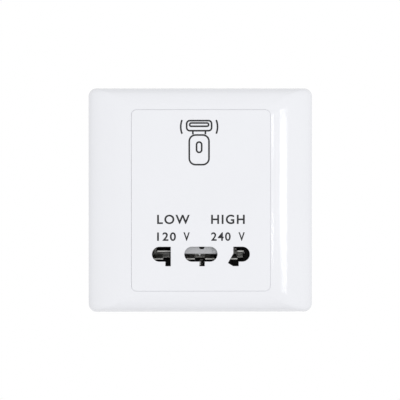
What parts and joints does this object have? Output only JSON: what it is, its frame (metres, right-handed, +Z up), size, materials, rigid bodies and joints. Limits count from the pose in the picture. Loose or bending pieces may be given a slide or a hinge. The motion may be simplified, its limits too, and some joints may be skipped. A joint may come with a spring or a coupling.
{
  "type": "shaver socket",
  "caption": "Square white wall socket for shavers with a pillowed clip-on surround, shuttered pin openings, an isolating transformer behind the wall face and screw terminals.",
  "frame": {"origin": "middle of the plate on the wall plane, midway between the fixing slots", "axes": "+Y into the wall, the front faces -Y, +Z is up, +X is to the right seen from the front"},
  "size_m": [0.086, 0.042, 0.086],
  "materials": {
    "white_plastic": "smooth gloss white moulding",
    "grey_plastic": "light grey moulding",
    "black_plastic": "black moulding",
    "light_grey_plastic": "light grey moulding",
    "spring_steel": "drawn spring wire",
    "contact_metal": "rolled bronze strip",
    "core_steel": "stacked sheet steel",
    "bobbin_plastic": "natural nylon moulding",
    "copper": "enamelled copper wire",
    "tinned_metal": "tinned pins",
    "board": "paper laminate board",
    "brass": "machined brass",
    "zinc_steel": "zinc plated steel"
  },
  "bodies": {
    "socket": {"surround_frame": "white_plastic", "front_panel": "white_plastic", "mounting_plate": "grey_plastic", "contact_carrier": "black_plastic", "shutter_spring": "spring_steel", "contact_low": "contact_metal", "contact_common": "contact_metal", "contact_high": "contact_metal", "transformer_core": "core_steel", "bobbin": "bobbin_plastic", "primary_winding": "copper", "secondary_winding": "copper", "winding_pins": "tinned_metal", "thermal_cutout": "black_plastic", "circuit_board": "board", "rear_housing": "grey_plastic", "terminal_block": "grey_plastic", "terminal_live": "brass", "terminal_earth": "brass", "terminal_neutral": "brass", "terminal_screws": "zinc_steel", "housing_screws_upper": "zinc_steel", "housing_screws_lower": "zinc_steel"},
    "shutter": {"shutter": "light_grey_plastic"}
  },
  "joints": [
    {"name": "shutter_slide", "type": "slide", "parent": "socket", "child": "shutter", "axis": [0, 0, 1], "range_m": [0, 0.0026], "stiffness_N_per_m": 250, "springref_m": -0.0025, "deforming": ["shutter_spring"]}
  ]
}
